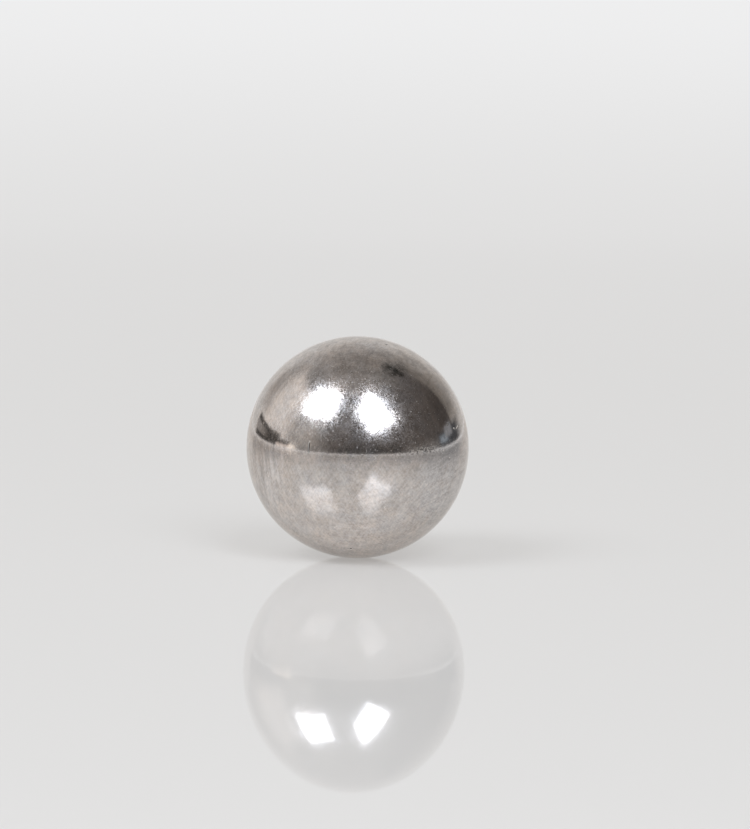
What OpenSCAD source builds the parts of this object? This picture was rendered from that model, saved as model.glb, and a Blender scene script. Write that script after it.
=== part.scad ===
// Steel ball: one solid sphere, ground and lapped all over.
// Millimetres, +Z up, with the origin at the centre of the ball.

/* [Ball] */
// Diameter of the ball
ball_d = 10; // [3:0.5:25.5]

/* [Hidden] */

// Fragments round a great circle, for a smooth outline
$fn = 192;

// The whole ball is one piece of hardened steel, with no flat, hole or seam
module ball() {
    color([0.68, 0.65, 0.63])
        sphere(d = ball_d);
}

ball();
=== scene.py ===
"""A lapped steel ball on a pale glossy table.

Metres throughout, +Z up, with the ball's centre at the origin. A direction is given in degrees
as an azimuth, 0 towards the camera and positive to its right, and an elevation above level.
"""
import math
import random

import bmesh
import bpy
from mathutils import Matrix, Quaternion, Vector


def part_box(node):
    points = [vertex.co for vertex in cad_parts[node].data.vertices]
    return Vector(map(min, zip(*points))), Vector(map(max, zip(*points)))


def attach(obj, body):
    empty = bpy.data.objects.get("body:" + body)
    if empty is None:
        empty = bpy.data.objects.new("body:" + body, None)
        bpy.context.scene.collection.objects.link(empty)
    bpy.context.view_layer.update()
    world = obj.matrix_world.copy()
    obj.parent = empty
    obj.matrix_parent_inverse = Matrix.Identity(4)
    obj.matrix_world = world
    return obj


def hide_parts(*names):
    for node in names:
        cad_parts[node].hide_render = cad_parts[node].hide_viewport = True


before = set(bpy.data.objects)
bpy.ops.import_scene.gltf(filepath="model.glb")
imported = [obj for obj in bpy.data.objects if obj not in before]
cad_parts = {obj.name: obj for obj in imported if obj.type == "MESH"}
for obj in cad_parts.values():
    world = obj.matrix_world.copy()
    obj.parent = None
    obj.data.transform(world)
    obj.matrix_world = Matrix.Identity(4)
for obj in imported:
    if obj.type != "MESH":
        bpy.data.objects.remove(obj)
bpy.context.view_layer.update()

MM = 0.001
MICRON = 0.000001
ORIGIN = Vector((0, 0, 0))
UP = Vector((0, 0, 1))

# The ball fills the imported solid's box and stays inside it on every side
BALL_LOW, BALL_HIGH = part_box("ball")
BALL_RADIUS = min(*(-BALL_LOW), *BALL_HIGH)
FLOOR_Z = -BALL_RADIUS

# Camera: a long lens, low over the table
CAMERA_ELEVATION = 7.5
CAMERA_DISTANCE = 0.3894
CAMERA_ROLL = 1.0
LENS_MM = 100
SENSOR_MM = 9.57
AIM_RIGHT = 0.757 * MM
AIM_UP = 1.476 * MM

# Grey levels of the studio, where 1 is white: the backdrop, with a trace of blue, and the even light
# on matt surfaces
PALE = 0.86
PALE_BLUE = 1.005
AMBIENT = 0.43

# Levels of a softbox on matt surfaces and in gloss, how far the matt lamp is behind the gloss one, and
# the colour of both
SOFTBOX_LEVEL = 4.6
SOFTBOX_GLOSS_LEVEL = 9.0
SOFTBOX_SETBACK = 0.01
SOFTBOX_COLOUR = (0.905, 0.985, 1.105)

# The table: its matt colour under the softboxes, the painted glow of light spread inside it, and its
# share
TABLE = (0.828, 0.784, 0.731, 1)
TABLE_PAINTED_GLOW = (0.783, 0.783, 0.783, 1)
TABLE_GLOW = 0.42

# Its gloss: refractive index and the most mirror-like that it gets. In the ball this gloss is soft and
# warm. The camera sees it sharp and neutral, and only a share of it
TABLE_IOR = 1.43
TABLE_MIRROR = 0.76
TABLE_MIRROR_SEEN = 0.55
TABLE_TINT = (1.0, 0.965, 0.93, 1)
TABLE_TINT_SEEN = (1, 1, 1, 1)
TABLE_ROUGH = 0.15
TABLE_ROUGH_SEEN = 0.015

# Its size, its dish, and the distances at which it starts and ends its run into the backdrop
TABLE_HALF = 2.5
DISH_RADIUS = 6.0
DISH_REACH = 0.12
FADE_STARTS = 0.03
FADE_ENDS = 0.32

# ---------------------------------------------------------------- helpers


def towards(azimuth, elevation):
    """The unit vector from the ball's centre in a direction."""
    a, e = math.radians(azimuth), math.radians(elevation)
    return Vector((math.cos(e) * math.sin(a), -math.cos(e) * math.cos(a), math.sin(e)))


def quaternion(axis, degrees):
    return Quaternion(axis, math.radians(degrees))


def add_object(name, data):
    made = bpy.data.objects.new(name, data)
    bpy.context.scene.collection.objects.link(made)
    return made


def add_mesh(name, bm):
    mesh = bpy.data.meshes.new(name)
    bm.to_mesh(mesh)
    bm.free()
    return add_object(name, mesh)


def feed(tree, socket, value):
    """Gives an input its value, from another node's socket or as a constant."""
    if isinstance(value, bpy.types.NodeSocket):
        tree.links.new(value, socket)
    else:
        socket.default_value = value


def add_node(tree, kind, *first, **named):
    """A node whose first inputs are given in order and whose others are given by name.

    Underscores in a name stand for spaces. A name may also be one of the node's own properties."""
    made = tree.nodes.new(kind)
    for i, value in enumerate(first):
        feed(tree, made.inputs[i], value)
    for key, value in named.items():
        if hasattr(made, key):
            setattr(made, key, value)
        else:
            feed(tree, made.inputs[key.replace("_", " ")], value)
    return made


def maths(tree, operation, *terms):
    """One Math node on terms that are sockets or numbers."""
    return add_node(tree, "ShaderNodeMath", *terms, operation=operation).outputs[0]


def length_of(tree, vector):
    return add_node(tree, "ShaderNodeVectorMath", vector, operation="LENGTH").outputs["Value"]


def distance_to(tree, place, azimuth, elevation):
    """How far a place is, in a straight line, from the point of the ball in a direction."""
    point = towards(azimuth, elevation) * BALL_RADIUS
    return add_node(tree, "ShaderNodeVectorMath", place, point, operation="DISTANCE").outputs["Value"]


def ramp(tree, value, low, high, to_low=0.0, to_high=1.0, smooth=True):
    """Maps low..high to to_low..to_high, held at both ends."""
    made = tree.nodes.new("ShaderNodeMapRange")
    made.interpolation_type = "SMOOTHSTEP" if smooth else "LINEAR"
    tree.links.new(value, made.inputs["Value"])
    made.inputs["From Min"].default_value = low
    made.inputs["From Max"].default_value = high
    made.inputs["To Min"].default_value = to_low
    made.inputs["To Max"].default_value = to_high
    return made.outputs["Result"]


def blend_colour(tree, mask, first, second, how="MIX"):
    """first where the mask is 0, and where it is 1 second, or first changed by second in another way."""
    made = tree.nodes.new("ShaderNodeMix")
    made.data_type = "RGBA"
    made.blend_type = how
    feed(tree, made.inputs["Factor"], mask)
    feed(tree, made.inputs[6], first)
    feed(tree, made.inputs[7], second)
    return made.outputs[2]


def blend_value(tree, mask, first, second):
    """first where the mask is 0 and second where it is 1."""
    made = tree.nodes.new("ShaderNodeMix")
    made.data_type = "FLOAT"
    feed(tree, made.inputs["Factor"], mask)
    feed(tree, made.inputs[2], first)
    feed(tree, made.inputs[3], second)
    return made.outputs[0]


def new_group(name, inputs, outputs):
    """A shader node group: inputs are (name, socket type, default) and outputs (name, socket type)."""
    group = bpy.data.node_groups.new(name, "ShaderNodeTree")
    for label, kind, default in inputs:
        socket = group.interface.new_socket(name=label, in_out="INPUT", socket_type=kind)
        if default is not None:
            socket.default_value = default
    for label, kind in outputs:
        group.interface.new_socket(name=label, in_out="OUTPUT", socket_type=kind)
    return group, group.nodes.new("NodeGroupInput"), group.nodes.new("NodeGroupOutput")


def use_group(tree, group, **values):
    made = tree.nodes.new("ShaderNodeGroup")
    made.node_tree = group
    for key, value in values.items():
        feed(tree, made.inputs[key.replace("_", " ")], value)
    return made


def new_material(name):
    material = bpy.data.materials.new(name)
    material.use_nodes = True
    material.node_tree.nodes.clear()
    return material, material.node_tree


# ---------------------------------------------------------------- node groups


def streak_group():
    """Fine arcs that run round one axis, as a lapping plate leaves them on a ball."""
    group, given, out = new_group(
        "lapping streaks",
        [
            ("Vector", "NodeSocketVector", None),
            ("Axis", "NodeSocketVector", None),
            ("Length", "NodeSocketFloat", 2 * MM),
            ("Pitch", "NodeSocketFloat", 0.05 * MM),
            ("Detail", "NodeSocketFloat", 1.0),
        ],
        [("Height", "NodeSocketFloat")],
    )
    size = add_node(group, "ShaderNodeCombineXYZ", X=given.outputs["Length"], Y=given.outputs["Length"],
                    Z=given.outputs["Pitch"])
    turned = add_node(group, "ShaderNodeMapping", vector_type="TEXTURE", Vector=given.outputs["Vector"],
                      Rotation=given.outputs["Axis"], Scale=size.outputs[0])
    noise = add_node(group, "ShaderNodeTexNoise", Vector=turned.outputs[0], Scale=1.0,
                     Detail=given.outputs["Detail"], Roughness=0.6)
    group.links.new(noise.outputs["Fac"], out.inputs["Height"])
    return group


def dimple_group():
    """Small round dimples, one in each cell of a given spacing. Only a few of them are deep."""
    group, given, out = new_group(
        "dimples",
        [
            ("Vector", "NodeSocketVector", None),
            ("Spacing", "NodeSocketFloat", 0.4 * MM),
            ("Radius", "NodeSocketFloat", 0.04 * MM),
            ("Rarity", "NodeSocketFloat", 2.0),
        ],
        [("Depth", "NodeSocketFloat")],
    )
    size = add_node(group, "ShaderNodeCombineXYZ", given.outputs["Spacing"], given.outputs["Spacing"],
                    given.outputs["Spacing"])
    cells = add_node(group, "ShaderNodeMapping", vector_type="TEXTURE", Vector=given.outputs["Vector"],
                     Scale=size.outputs[0])
    voronoi = add_node(group, "ShaderNodeTexVoronoi", Vector=cells.outputs[0], Scale=1.0)
    reach = maths(group, "DIVIDE", given.outputs["Radius"], given.outputs["Spacing"])
    part = maths(group, "DIVIDE", voronoi.outputs["Distance"], reach)
    chance = add_node(group, "ShaderNodeSeparateColor", voronoi.outputs["Color"]).outputs["Red"]
    deep = maths(group, "POWER", chance, given.outputs["Rarity"])
    depth = maths(group, "MULTIPLY", ramp(group, part, 1.0, 0.0), deep)
    group.links.new(depth, out.inputs["Depth"])
    return group


def card_group():
    """How much of a card is there: 1 inside it, with a soft fall to 0 at each edge.

    Angles are in radians."""
    group, given, out = new_group(
        "soft edged card",
        [
            ("Vector", "NodeSocketVector", None),
            ("Middle", "NodeSocketFloat", 0.0),
            ("Left", "NodeSocketFloat", -0.5),
            ("Right", "NodeSocketFloat", 0.5),
            ("Low", "NodeSocketFloat", -0.5),
            ("High", "NodeSocketFloat", 0.5),
            ("Soft Left", "NodeSocketFloat", 0.1),
            ("Soft Right", "NodeSocketFloat", 0.1),
            ("Soft Low", "NodeSocketFloat", 0.1),
            ("Soft High", "NodeSocketFloat", 0.1),
        ],
        [("Mask", "NodeSocketFloat")],
    )
    back = maths(group, "MULTIPLY", given.outputs["Middle"], -1.0)
    turned = add_node(group, "ShaderNodeVectorRotate", rotation_type="Z_AXIS",
                      Vector=given.outputs["Vector"], Angle=back)
    unit = add_node(group, "ShaderNodeVectorMath", turned.outputs[0], operation="NORMALIZE")
    axes = add_node(group, "ShaderNodeSeparateXYZ", unit.outputs[0])
    forwards = maths(group, "MULTIPLY", axes.outputs["Y"], -1.0)
    azimuth = maths(group, "ARCTAN2", axes.outputs["X"], forwards)
    elevation = maths(group, "ARCSINE", axes.outputs["Z"])
    mask = 1.0
    for edge, inwards in (
        ("Left", maths(group, "SUBTRACT", azimuth, given.outputs["Left"])),
        ("Right", maths(group, "SUBTRACT", given.outputs["Right"], azimuth)),
        ("Low", maths(group, "SUBTRACT", elevation, given.outputs["Low"])),
        ("High", maths(group, "SUBTRACT", given.outputs["High"], elevation)),
    ):
        part = maths(group, "DIVIDE", inwards, given.outputs["Soft " + edge])
        mask = maths(group, "MULTIPLY", ramp(group, part, 0.0, 1.0), mask)
    group.links.new(mask, out.inputs["Mask"])
    return group


# ---------------------------------------------------------------- the ball's shape


# The pits, nicks and scratches that can be made out one by one, in degrees and mm:
# azimuth, elevation, half length, half width, turn from level, depth
BIG_PITS = [
    (-4.9, -58.2, 0.08, 0.06, 10, 0.035),
    (54.1, 72.5, 0.075, 0.055, 0, 0.03),
    (-4.0, -17.3, 0.04, 0.03, 40, 0.022),
    (15.8, -24.8, 0.04, 0.028, 120, 0.02),
    (66.8, 14.3, 0.24, 0.04, 20, 0.007),
    (62.4, 14.1, 0.13, 0.045, -20, 0.007),
    (56.7, 16.9, 0.07, 0.04, 60, 0.006),
    (50.2, 3.5, 0.05, 0.04, 0, 0.010),
    (-25.8, 6.2, 0.29, 0.03, 90, 0.050),
    (29.2, 3.8, 0.05, 0.035, 43, 0.006),
    (34.9, 5.8, 0.09, 0.03, 0, 0.004),
    (36.1, 4.0, 0.045, 0.035, 0, 0.022),
    (55.4, -0.8, 0.05, 0.03, 50, 0.018),
    (62.6, -7.8, 0.07, 0.025, 60, 0.018),
    (59.2, -10.7, 0.045, 0.03, 20, 0.018),
]

# The small pits elsewhere: how many, the seed of their places, their half length in mm, how slim and
# how deep they are for it, and the cosine to the camera's direction that they stay under
SCATTERED_PITS = 26
PIT_SEED = 7
PIT_HALF_LENGTH = (0.025, 0.07)
PIT_SLIMNESS = (0.5, 1)
PIT_DEEPNESS = (0.2, 0.45)
PIT_FRONT = 0.2

# The finer faces round a pit: how far they reach for its half length, the margin in mm, and the cuts
# across each face. Then how steep the wall of a pit is
PATCH_REACH = 1.5
PATCH_MARGIN = 0.12
PATCH_CUTS = 4
PIT_WALL = 0.75


def scattered_pits():
    """Pits over the rest of the ball, clear of the face that the listed ones are on."""
    draw = random.Random(PIT_SEED)
    pits = []
    while len(pits) < SCATTERED_PITS:
        azimuth = draw.uniform(-180, 180)
        elevation = math.degrees(math.asin(draw.uniform(-1, 1)))
        half = draw.uniform(*PIT_HALF_LENGTH)
        slim = draw.uniform(*PIT_SLIMNESS)
        turn = draw.uniform(0, 180)
        deep = draw.uniform(*PIT_DEEPNESS)
        if towards(azimuth, elevation).dot(towards(0, CAMERA_ELEVATION)) < PIT_FRONT:
            pits.append((azimuth, elevation, half, half * slim, turn, half * deep))
    return pits


def near_pit(bm, pit):
    """The vertices of the patch round one pit, with its middle."""
    azimuth, elevation, half_length = pit[:3]
    centre = towards(azimuth, elevation) * BALL_RADIUS
    reach = (PATCH_REACH * half_length + PATCH_MARGIN) * MM
    return [v for v in bm.verts if (v.co - centre).length < reach], centre


def refine_for_pits(bm, pits):
    """Gives the patch round each pit finer faces, on the ball's own surface."""
    near = set()
    for pit in pits:
        near.update(near_pit(bm, pit)[0])
    edges = [e for e in bm.edges if e.verts[0] in near and e.verts[1] in near]
    bmesh.ops.subdivide_edges(bm, edges=edges, cuts=PATCH_CUTS, use_grid_fill=True)
    for vert in bm.verts:
        vert.co = vert.co.normalized() * BALL_RADIUS


def press_pit(bm, pit):
    """Presses one oval pit into its patch. Its sizes are in mm."""
    azimuth, elevation, half_length, half_width, turn, depth = pit
    out = towards(azimuth, elevation)
    level = UP.cross(out).normalized()
    turn = math.radians(turn)
    long_way = level * math.cos(turn) + out.cross(level) * math.sin(turn)
    short_way = out.cross(long_way)
    near, centre = near_pit(bm, pit)
    for vert in near:
        step = vert.co - centre
        x = step.dot(long_way) / (half_length * MM)
        y = step.dot(short_way) / (half_width * MM)
        inside = 1 - x * x - y * y
        if inside > 0:
            vert.co -= out * depth * MM * inside**PIT_WALL


def ball_mesh():
    bm = bmesh.new()
    bmesh.ops.create_icosphere(bm, subdivisions=7, radius=BALL_RADIUS)
    pits = BIG_PITS + scattered_pits()
    refine_for_pits(bm, pits)
    for pit in pits:
        press_pit(bm, pit)
    for face in bm.faces:
        face.smooth = True
    return add_mesh("steel_ball", bm)


# ---------------------------------------------------------------- the ball's finish


# The clean steel's two tones and two tints, its tint at the rim, the colour of bare metal, painted
# lighter than the steel as a glint, the near-black of the deepest pits and of dark bits, and the colour
# of the stain
STEEL_DULL = (0.50, 0.465, 0.445, 1)
STEEL_BRIGHT = (0.80, 0.745, 0.715, 1)
WARM = (1.0, 0.962, 0.915, 1)
COOL = (0.945, 0.975, 1.0, 1)
EDGE_TINT = (0.92, 0.91, 0.90, 1)
BARE_AND_GLINT = (0.90, 0.86, 0.80, 1)
NEAR_BLACK = (0.035, 0.03, 0.028, 1)
STAIN = (0.20, 0.195, 0.18, 1)

# The level that a noise varies round
NOISE_MIDDLE = 0.5

# One old stain in three overlapping blots: azimuth, elevation and reach in mm. Then how ragged they
# are in mm, and where a blot ends and is full, for its reach
STAIN_BLOTS = [
    (26.3, 52.2, 0.33),
    (30.3, 49.6, 0.33),
    (33.6, 47.5, 0.22),
]
STAIN_RAGGED = 0.9
STAIN_ENDS = 1.2
STAIN_FULL = 0.1

# Noises, as features to the metre, detail and roughness: fine grain, orange peel, a mottle of stronger
# detail, broad soft patches of tint, and the tiny spots that are frosted
NOISES = {
    "grain": (11000.0, 1.0, 0.6),
    "peel": (2500.0, 2.0, 0.5),
    "mottle": (1800.0, 4.0, 0.8),
    "tint": (700.0, 6.0, 0.9),
    "spots": (33000.0, 0.0, 0.5),
}

# Families of fine lines, as the turn in radians of the axis that they run round, length and pitch in
# mm, and detail: long lapping arcs round the front, short scratches both ways across them, upright
# lines where one side has rubbed, and slanting ones where the other is grazed
LINES = {
    "arcs": ((1.44, 0.05, 0.0), 2.6, 0.10, 2.0),
    "scratches_one_way": ((0.5, 1.0, 0.2), 0.5, 0.06, 1.0),
    "scratches_other_way": ((2.2, -0.4, 1.1), 0.45, 0.07, 1.0),
    "rubs": ((0.0, 1.47, 0.0), 1.8, 0.15, 1.0),
    "grazes": ((0.1, -0.3, 0.0), 1.2, 0.09, 2.0),
}

# Families of tiny dimples: spacing and radius in mm, and how rare the deep ones are
DIMPLES = {
    "specks": (0.26, 0.06, 2.5),
    "pinpricks": (0.10, 0.034, 2.5),
}

# How far each pattern lifts the surface, in microns
RELIEF = {
    "arcs": 0.5,
    "scratches": 0.2,
    "grain": 0.25,
    "peel": 1.2,
    "specks": -3.2,
    "pinpricks": -1.2,
}

# How much each pattern lightens the steel, and what is added to it
TONES = {
    "grain": (0.8, 0.0),
    "mottle": (1.6, -0.8),
    "scratches": (0.7, -0.5),
    "arcs": (0.6, -0.4),
}
RUBBED_TONE = 1.6
GRAZED_TONE = 1.1

# Patches of the ball: azimuth and elevation of the middle, then the distances from it in mm at which
# the patch ends and is full
RUBBED = (-61, -9, 2.6, 0.9)
GRAZED = (58, -11, 2.9, 1.2)
SCUFFED = (37.5, 5.4, 1.5, 0.3)
HANDLED = (-7, 30, 4.3, 3.3)

# Depths at which bare metal with its painted glint begins in a pit and is full, and the same for the
# near-black
BARE_GLINT_DEPTHS = (2 * MICRON, 6 * MICRON)
NEAR_BLACK_DEPTHS = (12 * MICRON, 20 * MICRON)

# The scuff: its height, the distances from its line at which it ends and is full, and how much more
# of the grain shows in its middle
SCUFF_HEIGHT = 0.47 * MM
SCUFF_WIDTHS = (0.30 * MM, 0.04 * MM)
SCUFF_DENSITY = 0.18

# Bits that show in the scuff and the grazed patch, bright bare metal with a painted glint and near-black
# bits: the level of the grain at which they begin and are full, then the least and the most of them
BRIGHT_BITS = (0.67, 0.77, 0.0, 0.55)
DARK_BITS = (0.36, 0.26, 0.0, 0.6)
GRAZED_BITS = (0.64, 0.76, 0.0, 0.5)

# Heights at which the top begins to be blotchy and is, then the least and the most of it
TOP_BLOTCHES = (2.8 * MM, 4.2 * MM, 0.0, 1.8)

# The levels of the tint that are wholly warm and wholly cool, and how much cooler the grazed patch is
TINT_LEVELS = (0.36, 0.64)
GRAZED_COOL = 0.13

# Frost: the levels of the spots at which it begins and is full, how much the patterns shift them, the
# heights at which the handled cap begins and is full, and the share of frost outside it
FROST_LEVELS = (0.92, 1.02)
FROST_UNEVEN = 0.35
FROST_CROSSED = 0.15
FROST_SHIFT = 0.15
HANDLED_HEIGHTS = (0.35 * MM, 1.05 * MM)
FROST_ELSEWHERE = 0.2

# Roughness of the polish and of the frost, and how much rougher each mark is
POLISH_ROUGH = 0.08
FROST_ROUGH = 0.25
ROUGHER = {
    "specks": 0.3,
    "pinpricks": 0.32,
    "bare_glint": 0.3,
    "near_black": 0.4,
}


def patch(tree, place, where, outside=0.0):
    """1 in the middle of a patch of the ball, with a soft fall to what there is outside it."""
    azimuth, elevation, ends, full = where
    away = distance_to(tree, place, azimuth, elevation)
    return ramp(tree, away, ends * MM, full * MM, outside, 1.0)


def stain_mask(tree, place, ragged):
    """Where the stain lies: 1 in its blots, whose edges the ragged noise moves in and out."""
    mask = 0.0
    middle = NOISE_MIDDLE * STAIN_RAGGED
    for azimuth, elevation, reach in STAIN_BLOTS:
        off = distance_to(tree, place, azimuth, elevation)
        off = maths(tree, "MULTIPLY_ADD", ragged, STAIN_RAGGED * MM, off)
        ends, full = middle + STAIN_ENDS * reach, middle + STAIN_FULL * reach
        blot = ramp(tree, off, ends * MM, full * MM)
        mask = maths(tree, "MAXIMUM", blot, mask)
    return mask


def steel_marks(tree, place, streaks, dimples):
    """Every pattern of the finish, and the rubbed and grazed patches, each by its name."""
    marks = {}
    for name, (scale, detail, roughness) in NOISES.items():
        noise = add_node(tree, "ShaderNodeTexNoise", Vector=place, Scale=scale, Detail=detail,
                         Roughness=roughness)
        marks[name] = noise.outputs["Fac"]
    for name, (axis, length, pitch, detail) in LINES.items():
        lines = use_group(tree, streaks, Vector=place, Axis=axis, Length=length * MM, Pitch=pitch * MM,
                          Detail=detail)
        marks[name] = lines.outputs["Height"]
    for name, (spacing, radius, rarity) in DIMPLES.items():
        family = use_group(tree, dimples, Vector=place, Spacing=spacing * MM, Radius=radius * MM,
                           Rarity=rarity)
        marks[name] = family.outputs["Depth"]
    marks["scratches"] = maths(tree, "ADD", marks["scratches_one_way"], marks["scratches_other_way"])
    marks["rubbed"] = patch(tree, place, RUBBED)
    marks["grazed"] = patch(tree, place, GRAZED)
    return marks


def bare_glint_and_near_black(tree, place, up, marks):
    """Where rough bare metal is painted light as a glint, and where the steel is near-black.

    Bare metal, painted lighter than the steel as a glint, shows in the pits, which are below the ball's
    own radius, and the deepest of them are near-black. Along the scuff bits of both lie close together in
    the middle and thin out to the ends. The grazed patch has a few bright bits of glinting bare metal."""
    grain = marks["grain"]
    depth = maths(tree, "SUBTRACT", BALL_RADIUS, length_of(tree, place))
    bare_glint = ramp(tree, depth, *BARE_GLINT_DEPTHS)
    near_black = ramp(tree, depth, *NEAR_BLACK_DEPTHS)

    off_line = maths(tree, "ABSOLUTE", maths(tree, "SUBTRACT", up, SCUFF_HEIGHT))
    scuffed = maths(tree, "MULTIPLY", ramp(tree, off_line, *SCUFF_WIDTHS), patch(tree, place, SCUFFED))
    dense = maths(tree, "MULTIPLY", scuffed, SCUFF_DENSITY)
    bright_bits = ramp(tree, maths(tree, "ADD", grain, dense), *BRIGHT_BITS)
    bare_glint = maths(tree, "MAXIMUM", bare_glint, maths(tree, "MULTIPLY", scuffed, bright_bits))
    dark_bits = ramp(tree, maths(tree, "SUBTRACT", grain, dense), *DARK_BITS)
    near_black = maths(tree, "MAXIMUM", near_black, maths(tree, "MULTIPLY", scuffed, dark_bits))

    grazed_bits = ramp(tree, grain, *GRAZED_BITS)
    bare_glint = maths(tree, "MAXIMUM", bare_glint, maths(tree, "MULTIPLY", marks["grazed"], grazed_bits))
    return bare_glint, near_black


def steel_normal(tree, marks):
    """The normal of the finely lined and dimpled surface."""
    height = 0.0
    for name, lift in RELIEF.items():
        height = maths(tree, "MULTIPLY_ADD", marks[name], lift, height)
    return add_node(tree, "ShaderNodeBump", Height=height, Distance=MICRON).outputs[0]


def steel_colour(tree, place, up, marks):
    """Steel between its two tones and its two tints, with the stain, bare metal with a painted glint and
    the near-black bits over it.
    """
    tone = 0.0
    for name, (share, shift) in TONES.items():
        tone = maths(tree, "ADD", tone, maths(tree, "MULTIPLY_ADD", marks[name], share, shift))
    for lines, worn, strength in (("rubs", "rubbed", RUBBED_TONE), ("grazes", "grazed", GRAZED_TONE)):
        shown = maths(tree, "SUBTRACT", marks[lines], NOISE_MIDDLE)
        shown = maths(tree, "MULTIPLY", shown, marks[worn])
        tone = maths(tree, "MULTIPLY_ADD", shown, strength, tone)
    blotch = maths(tree, "SUBTRACT", marks["mottle"], NOISE_MIDDLE)
    blotch = maths(tree, "MULTIPLY", blotch, ramp(tree, up, *TOP_BLOTCHES))
    tone = maths(tree, "ADD", tone, blotch)

    colour = blend_colour(tree, tone, STEEL_DULL, STEEL_BRIGHT)
    cool = maths(tree, "MULTIPLY_ADD", marks["grazed"], GRAZED_COOL, marks["tint"])
    shade = blend_colour(tree, ramp(tree, cool, *TINT_LEVELS, smooth=False), WARM, COOL)
    colour = blend_colour(tree, 1.0, colour, shade, how="MULTIPLY")
    colour = blend_colour(tree, stain_mask(tree, place, marks["mottle"]), colour, STAIN)
    # Bare metal, painted lighter than the steel as a glint
    colour = blend_colour(tree, marks["bare_glint"], colour, BARE_AND_GLINT)
    # Near-black in the deepest pits and in bits along the scuff
    return blend_colour(tree, marks["near_black"], colour, NEAR_BLACK)


def steel_roughness(tree, place, up, marks):
    """Polish among tiny frosted spots, which give each reflection a soft halo.

    A cap high on the front, where the ball has been handled, has the most of them."""
    uneven = maths(tree, "ADD", marks["mottle"], marks["grain"])
    uneven = maths(tree, "MULTIPLY_ADD", uneven, FROST_UNEVEN, FROST_SHIFT)
    crossed = maths(tree, "SUBTRACT", marks["scratches"], 2 * NOISE_MIDDLE)
    patchy = maths(tree, "MULTIPLY_ADD", crossed, FROST_CROSSED, uneven)
    frost = ramp(tree, maths(tree, "ADD", marks["spots"], patchy), *FROST_LEVELS)
    handled = maths(tree, "MINIMUM", ramp(tree, up, *HANDLED_HEIGHTS, FROST_ELSEWHERE, 1.0),
                    patch(tree, place, HANDLED, FROST_ELSEWHERE))
    rough = blend_value(tree, maths(tree, "MULTIPLY", frost, handled), POLISH_ROUGH, FROST_ROUGH)
    for name, rougher in ROUGHER.items():
        rough = maths(tree, "MULTIPLY_ADD", marks[name], rougher, rough)
    return rough


def lapped_steel(streaks, dimples):
    """Bright hardened steel: fine lapping arcs, a slight orange peel, specks, and bare metal with a
    painted glint and near-black in its pits.
    """
    material, tree = new_material("lapped steel")
    place = add_node(tree, "ShaderNodeTexCoord").outputs["Object"]
    up = add_node(tree, "ShaderNodeSeparateXYZ", place).outputs["Z"]
    marks = steel_marks(tree, place, streaks, dimples)
    marks["bare_glint"], marks["near_black"] = bare_glint_and_near_black(tree, place, up, marks)
    shader = add_node(
        tree,
        "ShaderNodeBsdfPrincipled",
        Base_Color=steel_colour(tree, place, up, marks),
        Metallic=1.0,
        Roughness=steel_roughness(tree, place, up, marks),
        Specular_Tint=EDGE_TINT,
        Normal=steel_normal(tree, marks),
    )
    out = add_node(tree, "ShaderNodeOutputMaterial")
    tree.links.new(shader.outputs[0], out.inputs["Surface"])
    return material


# ---------------------------------------------------------------- the studio


def sees_backdrop(tree):
    """1 for the rays that show the pale backdrop: the camera's own, and those in gloss and glass."""
    rays = add_node(tree, "ShaderNodeLightPath").outputs
    shown = maths(tree, "MAXIMUM", rays["Is Camera Ray"], rays["Is Glossy Ray"])
    return maths(tree, "MAXIMUM", shown, rays["Is Transmission Ray"])


def table_material():
    """Pale gloss acrylic, which gives a faint mirror image of what stands on it."""
    material, tree = new_material("pale acrylic")
    place = add_node(tree, "ShaderNodeTexCoord").outputs["Object"]
    matt = add_node(tree, "ShaderNodeBsdfDiffuse", Color=TABLE)
    # A painted glow stands for light that spreads inside the sheet, so that a shadow on it is weak
    painted_glow = add_node(tree, "ShaderNodeEmission", Color=TABLE_PAINTED_GLOW)
    body = add_node(tree, "ShaderNodeMixShader", TABLE_GLOW, matt.outputs[0], painted_glow.outputs[0])
    seen = add_node(tree, "ShaderNodeLightPath").outputs["Is Camera Ray"]
    gloss = add_node(tree, "ShaderNodeBsdfGlossy",
                     Color=blend_colour(tree, seen, TABLE_TINT, TABLE_TINT_SEEN),
                     Roughness=blend_value(tree, seen, TABLE_ROUGH, TABLE_ROUGH_SEEN))
    fresnel = add_node(tree, "ShaderNodeFresnel", IOR=TABLE_IOR).outputs[0]
    mirror = maths(tree, "MINIMUM", fresnel, TABLE_MIRROR)
    mirror = maths(tree, "MULTIPLY", mirror, blend_value(tree, seen, 1.0, TABLE_MIRROR_SEEN))
    sheet = add_node(tree, "ShaderNodeMixShader", mirror, body.outputs[0], gloss.outputs[0])

    # Far from the ball the table runs into the pale backdrop
    backdrop = add_node(tree, "ShaderNodeEmission", Color=(PALE, PALE, PALE * PALE_BLUE, 1))
    far = ramp(tree, length_of(tree, place), FADE_STARTS, FADE_ENDS)
    fade = maths(tree, "MULTIPLY", far, sees_backdrop(tree))
    both = add_node(tree, "ShaderNodeMixShader", fade, sheet.outputs[0], backdrop.outputs[0])
    out = add_node(tree, "ShaderNodeOutputMaterial")
    tree.links.new(both.outputs[0], out.inputs["Surface"])
    return material


def table():
    """A wide sheet that is very slightly dished across the line of sight."""
    bm = bmesh.new()
    bmesh.ops.create_grid(bm, x_segments=24, y_segments=600, size=TABLE_HALF)
    for vert in bm.verts:
        vert.co.z = FLOOR_Z + min(abs(vert.co.y), DISH_REACH) ** 2 / (2 * DISH_RADIUS)
    for face in bm.faces:
        face.smooth = True
    made = add_mesh("table", bm)
    made.data.materials.append(table_material())


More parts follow.
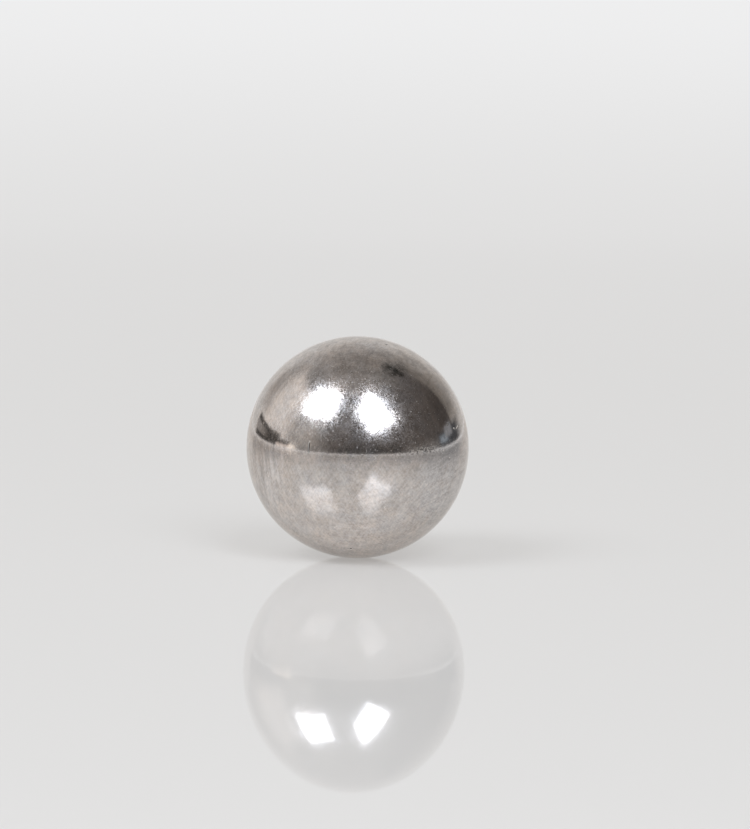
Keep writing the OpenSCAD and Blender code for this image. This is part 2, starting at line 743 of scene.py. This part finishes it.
def softbox(name, azimuth, elevation, distance, width, height, turn, tilt, roll):
    """A rectangular softbox. Turn, tilt and roll move it away from squarely facing the ball.

    It is two lamps: one lights matt surfaces, and the brighter one shows in gloss. In one plane they
    would hide each other, so the first is a little behind the second."""
    out = towards(azimuth, elevation)
    face = out.to_track_quat("Z", "Y")
    for axis, angle in (((0, 1, 0), turn), ((1, 0, 0), tilt), ((0, 0, 1), roll)):
        face = face @ quaternion(axis, angle)
    for kind, level, hidden_from, back in (
        ("matt", SOFTBOX_LEVEL, "visible_glossy", SOFTBOX_SETBACK),
        ("gloss", SOFTBOX_GLOSS_LEVEL, "visible_diffuse", 0.0),
    ):
        lamp = bpy.data.lights.new(name + "_" + kind, "AREA")
        lamp.shape = "RECTANGLE"
        lamp.size = width
        lamp.size_y = height
        lamp.energy = level * math.pi * width * height
        lamp.color = SOFTBOX_COLOUR
        made = add_object(lamp.name, lamp)
        made.rotation_mode = "QUATERNION"
        made.rotation_quaternion = face
        made.location = out * (distance + back)
        made.visible_camera = False
        setattr(made, hidden_from, False)


# The room as the ball shows it. Each card has a name, a colour, a distance, two azimuths, two elevations,
# and how many degrees each edge takes to fade: left, right, low and high. It shows in the ball, in the
# table's gloss as the ball doubles it, or in both. A nearer card covers a farther one
ROOM_CARDS = [
    ("rear_card", (0.71, 0.70, 0.69), 1.80, (112, 248), (-3, 60), (8, 8, 1, 8), "both"),
    ("ceiling_card", (0.31, 0.293, 0.28), 1.75, (-180, 180), (22, 90), (0.01, 0.01, 42, 0.01), "both"),
    ("zenith_card", (0.235, 0.222, 0.211), 1.70, (-180, 180), (64, 90), (0.01, 0.01, 20, 0.01), "both"),
    ("left_grey", (0.44, 0.425, 0.41), 1.65, (-95, -20), (-2, 60), (12, 20, 1, 20), "both"),
    ("side_card", (0.88, 0.85, 0.83), 1.60, (-141, -76), (-2, 49.5), (24, 10, 1, 4), "both"),
    ("side_top", (0.20, 0.19, 0.18), 1.57, (-122, -80), (48, 68), (14, 10, 5, 12), "both"),
    ("left_shade", (0.45, 0.43, 0.415), 1.55, (-156, -112), (6, 57), (13, 28, 11, 22), "both"),
    ("wedge_card", (0.20, 0.185, 0.17), 1.50, (100, 176), (-2, 62), (1, 54, 18, 18), "both"),
    ("top_right", (0.215, 0.205, 0.195), 1.46, (40, 122), (54, 86), (24, 14, 8, 14), "both"),
    ("upper_shade", (0.09, 0.085, 0.08), 1.45, (100, 152), (44, 74), (10, 22, 12, 10), "both"),
    ("room_card", (0.104, 0.094, 0.089), 1.40, (-56, 124), (-2, 74), (30, 3, 1, 24), "both"),
    ("deep_corner", (0.078, 0.07, 0.066), 1.38, (96, 123.5), (12, 38), (12, 3, 2, 10), "both"),
    ("low_shade", (0.077, 0.073, 0.071), 1.36, (-28, 52), (-1, 10), (16, 12, 1, 7), "ball"),
    ("low_double", (0.18, 0.172, 0.165), 1.355, (-40, 50), (-1, 16), (20, 20, 1, 6), "table"),
    ("left_low", (0.24, 0.23, 0.22), 1.35, (-70, -26), (-1, 6), (20, 14, 1, 5), "both"),
    ("right_low", (0.20, 0.19, 0.184), 1.345, (46, 99), (-1, 10.5), (14, 4, 0.5, 9), "both"),
    ("rear_glow", (0.82, 0.815, 0.81), 1.34, (164, 196), (-2, 10), (8, 8, 1, 6), "both"),
    ("dark_strip", (0.055, 0.052, 0.05), 1.33, (-137.5, -88), (-0.6, 9.6), (4, 3, 0.4, 1.0), "ball"),
    ("strip_middle", (0.33, 0.315, 0.305), 1.32, (-138, -103), (1.6, 7.0), (2, 22, 1, 1), "ball"),
    ("strip_double", (0.26, 0.245, 0.235), 1.31, (-141, -72), (-1, 19), (6, 12, 0.5, 15), "table"),
    ("cream_sliver", (0.95, 0.86, 0.80), 1.30, (-96, -66), (-1, 3.8), (3, 8, 0.5, 1.6), "both"),
    ("dark_tail", (0.04, 0.038, 0.036), 1.29, (-98, -73), (1.8, 6.4), (3, 7, 0.8, 1.6), "ball"),
    ("cream_tip", (1.35, 1.25, 1.14), 1.28, (-78, -64.5), (-1, 5.4), (3, 8, 1, 4), "both"),
    ("right_shade", (0.075, 0.077, 0.083), 1.27, (93, 145), (-1, 10.5), (5, 20, 1, 3), "both"),
    ("cool_low", (0.28, 0.32, 0.36), 1.26, (94.5, 113), (1.8, 8.8), (4, 6, 1.4, 2.6), "ball"),
    ("cool_high", (0.30, 0.305, 0.32), 1.25, (103, 122), (3.5, 13), (6, 5, 2.5, 3), "ball"),
]

# A count of glossy bounces between that of a card seen in the ball and one seen by way of the table
BETWEEN_BOUNCES = 1.5


def card_mesh(name, distance, azimuths, elevations):
    """A curved sheet between two azimuths and two elevations."""
    (left, right), (low, high) = azimuths, elevations
    bm = bmesh.new()
    start = bmesh.ops.create_vert(bm, co=towards(left, low) * distance)["vert"]
    side = towards(left + 90, 0)
    bmesh.ops.spin(bm, geom=start, cent=ORIGIN, axis=-side, angle=math.radians(high - low), steps=12)
    bmesh.ops.spin(bm, geom=bm.verts[:] + bm.edges[:], cent=ORIGIN, axis=UP,
                   angle=math.radians(right - left), steps=36, use_merge=right - left >= 360)
    return add_mesh(name, bm)


def card_material(soft_edge, name, colour, azimuths, elevations, softness, shows_in):
    """A plain glow with soft edges, which lights nothing."""
    (left, right), (low, high) = azimuths, elevations
    material, tree = new_material(name)
    material.cycles.emission_sampling = "NONE"
    place = add_node(tree, "ShaderNodeTexCoord").outputs["Object"]
    edge = use_group(tree, soft_edge, Vector=place)
    middle = (left + right) / 2
    for socket, angle in (
        ("Middle", middle),
        ("Left", left - middle),
        ("Right", right - middle),
        ("Low", low),
        ("High", high),
        ("Soft Left", softness[0]),
        ("Soft Right", softness[1]),
        ("Soft Low", softness[2]),
        ("Soft High", softness[3]),
    ):
        edge.inputs[socket].default_value = math.radians(angle)
    shown = edge.outputs["Mask"]
    if shows_in != "both":
        bounces = add_node(tree, "ShaderNodeLightPath").outputs["Glossy Depth"]
        test = "LESS_THAN" if shows_in == "ball" else "GREATER_THAN"
        shown = maths(tree, "MULTIPLY", shown, maths(tree, test, bounces, BETWEEN_BOUNCES))
    glow = add_node(tree, "ShaderNodeEmission", Color=(*colour, 1), Strength=1.0)
    clear = add_node(tree, "ShaderNodeBsdfTransparent")
    both = add_node(tree, "ShaderNodeMixShader", shown, clear.outputs[0], glow.outputs[0])
    out = add_node(tree, "ShaderNodeOutputMaterial")
    tree.links.new(both.outputs[0], out.inputs["Surface"])
    return material


def card(soft_edge, name, colour, distance, azimuths, elevations, softness, shows_in):
    """A card that only glossy surfaces see."""
    made = card_mesh(name, distance, azimuths, elevations)
    made.data.materials.append(
        card_material(soft_edge, name, colour, azimuths, elevations, softness, shows_in)
    )
    for ray in ("visible_camera", "visible_diffuse", "visible_shadow", "visible_volume_scatter"):
        setattr(made, ray, False)


def studio_world():
    """Pale to the camera and in gloss, with a lower even light on matt surfaces."""
    world = bpy.data.worlds.new("studio")
    bpy.context.scene.world = world
    world.use_nodes = True
    tree = world.node_tree
    tree.nodes.clear()
    level = blend_value(tree, sees_backdrop(tree), AMBIENT, PALE)
    sky = add_node(tree, "ShaderNodeBackground", Color=(1, 1, PALE_BLUE, 1), Strength=level)
    out = add_node(tree, "ShaderNodeOutputWorld")
    tree.links.new(sky.outputs[0], out.inputs["Surface"])


def camera():
    data = bpy.data.cameras.new("camera")
    data.lens = LENS_MM
    data.sensor_width = SENSOR_MM
    data.clip_start = 0.01
    data.clip_end = 20
    made = add_object("camera", data)
    away = towards(0, CAMERA_ELEVATION)
    right = Vector((1, 0, 0))
    up = right.cross(-away)
    made.location = away * CAMERA_DISTANCE
    aim = right * AIM_RIGHT + up * AIM_UP
    made.rotation_mode = "QUATERNION"
    look = (aim - made.location).to_track_quat("-Z", "Y")
    made.rotation_quaternion = look @ quaternion((0, 0, 1), CAMERA_ROLL)
    bpy.context.scene.camera = made


# ---------------------------------------------------------------- the scene


ball = ball_mesh()
ball.data.materials.append(lapped_steel(streak_group(), dimple_group()))
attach(ball, "root")
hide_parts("ball")

table()
softbox("left_softbox", azimuth=-53.9, elevation=48.5, distance=0.6, width=0.300, height=0.316,
        turn=11.6, tilt=29.6, roll=9.3)
softbox("right_softbox", azimuth=17.6, elevation=41.7, distance=0.6, width=0.351, height=0.362,
        turn=48.0, tilt=-6.9, roll=-58.1)

soft_edge = card_group()
for row in ROOM_CARDS:
    card(soft_edge, *row)

studio_world()
camera()

bpy.context.scene.view_settings.view_transform = "Standard"
